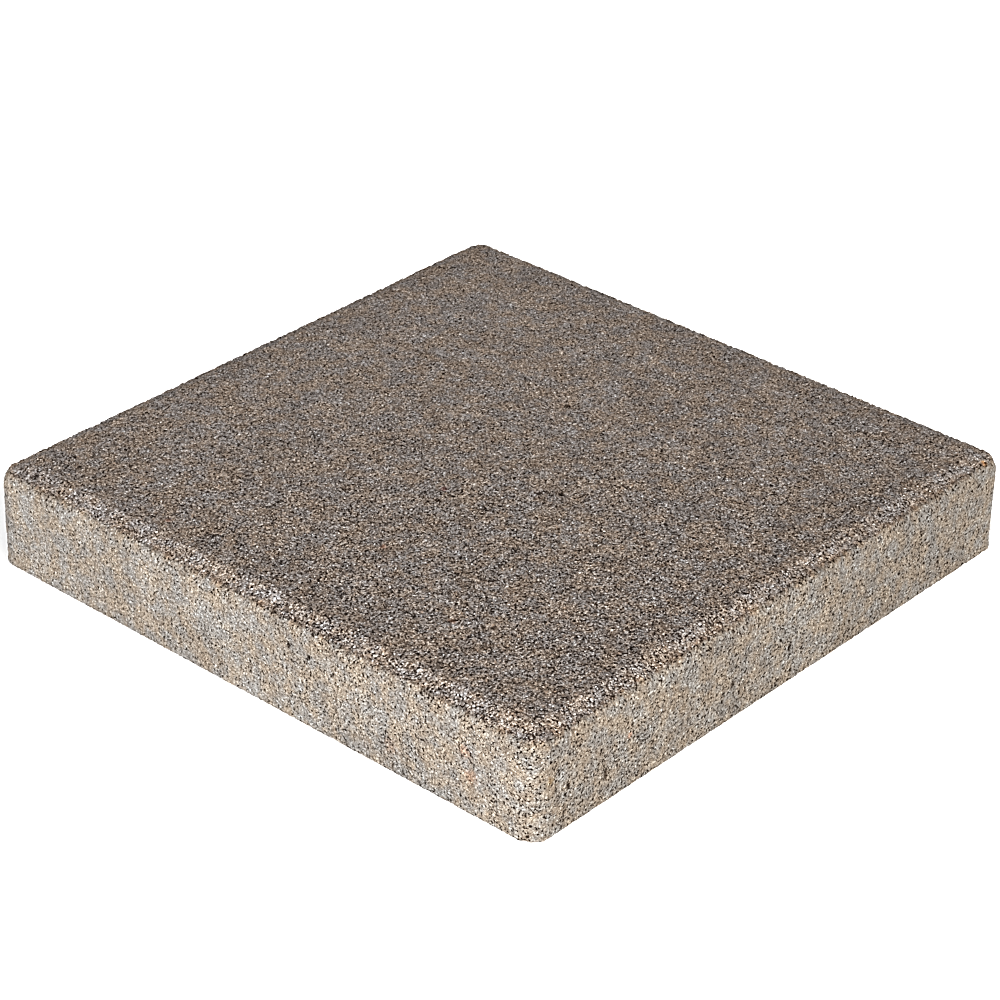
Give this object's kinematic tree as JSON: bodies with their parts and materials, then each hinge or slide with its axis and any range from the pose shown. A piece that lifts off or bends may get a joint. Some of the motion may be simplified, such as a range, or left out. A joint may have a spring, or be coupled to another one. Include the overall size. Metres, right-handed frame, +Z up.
{
  "type": "concrete paving slab",
  "caption": "Square pressed concrete paving slab with rounded corners and a shallow bevel round its walking face, laid flat as a path or patio unit.",
  "frame": {"origin": "middle of the flat underside, on the surface that the slab lies on", "axes": "+Z up through the thickness, X and Y along the square sides"},
  "size_m": [0.298, 0.298, 0.0465],
  "materials": {
    "concrete": "dry pressed concrete, matt and sandy, with open pores"
  },
  "bodies": {
    "root": {"paving_slab": "concrete"}
  },
  "joints": []
}
